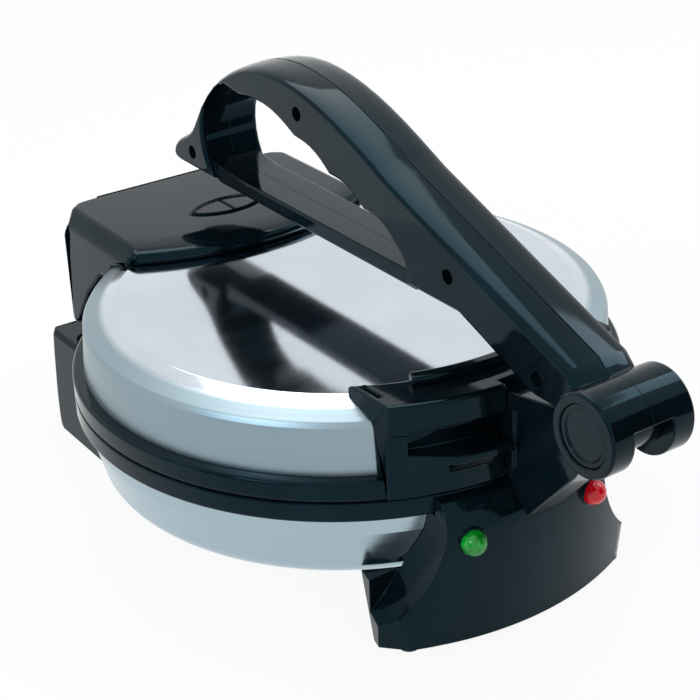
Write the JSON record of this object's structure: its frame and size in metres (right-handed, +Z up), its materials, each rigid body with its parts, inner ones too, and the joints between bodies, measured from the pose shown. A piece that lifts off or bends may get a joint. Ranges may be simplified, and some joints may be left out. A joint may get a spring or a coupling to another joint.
{
  "type": "electric flatbread maker",
  "caption": "Round countertop flatbread cooker: black housings, steel pan and domed lid with two hot plates, rear hinge, and a long looped press lever on a front pivot.",
  "frame": {"origin": "on the table under the middle of the whole part", "axes": "+X to the right side, +Y towards the hinge at the back, +Z up"},
  "size_m": [0.245, 0.3502, 0.1972],
  "materials": {
    "black_plastic": "glossy moulded black plastic",
    "stainless": "satin stainless steel sheet",
    "coated_casting": "cast plate with dark non-stick coating",
    "bright_metal": "plated steel",
    "ceramic": "matt pale ceramic",
    "lamp_glass": "clear glass lamp",
    "green_lens": "clear green plastic",
    "red_lens": "clear red plastic",
    "rubber": "matt black rubber"
  },
  "bodies": {
    "base": {"base_pan": "stainless", "base_rim": "black_plastic", "lower_plate": "coated_casting", "lower_heater": "bright_metal", "lower_reflector": "bright_metal", "base_bolt": "bright_metal", "thermostat": "ceramic", "thermal_fuse": "ceramic", "terminal_block": "ceramic", "front_housing": "black_plastic", "lamp_lens_green": "green_lens", "lamp_lens_red": "red_lens", "neon_lamps": "lamp_glass", "lamp_retainers": "bright_metal", "rear_housing": "black_plastic", "rubber_feet": "rubber", "cord_gland": "rubber", "hinge_pins": "bright_metal", "base_screws": "bright_metal"},
    "lid": {"lid_cover": "stainless", "lid_rim": "black_plastic", "upper_plate": "coated_casting", "upper_heater": "bright_metal", "upper_reflector": "bright_metal", "reflector_nut": "bright_metal", "hinge_hood": "black_plastic", "hood_inset": "black_plastic", "hood_screws": "bright_metal", "lid_lug": "black_plastic", "press_pad": "black_plastic", "pivot_bracket": "black_plastic", "bracket_screws": "bright_metal", "pivot_axle": "bright_metal", "axle_clips": "bright_metal"},
    "lever": {"lever_left": "black_plastic", "lever_right": "black_plastic", "pivot_cap_left": "black_plastic", "pivot_cap_right": "black_plastic", "lever_screws": "bright_metal"}
  },
  "joints": [
    {"name": "lid_hinge", "type": "hinge", "parent": "base", "child": "lid", "pos_m": [0, 0.1581, 0.07], "axis": [-1, 0, 0], "range_deg": [0, 95]},
    {"name": "lever_pivot", "type": "hinge", "parent": "lid", "child": "lever", "pos_m": [0, -0.1583, 0.1131], "axis": [1, 0, 0], "range_deg": [0, 115]}
  ]
}
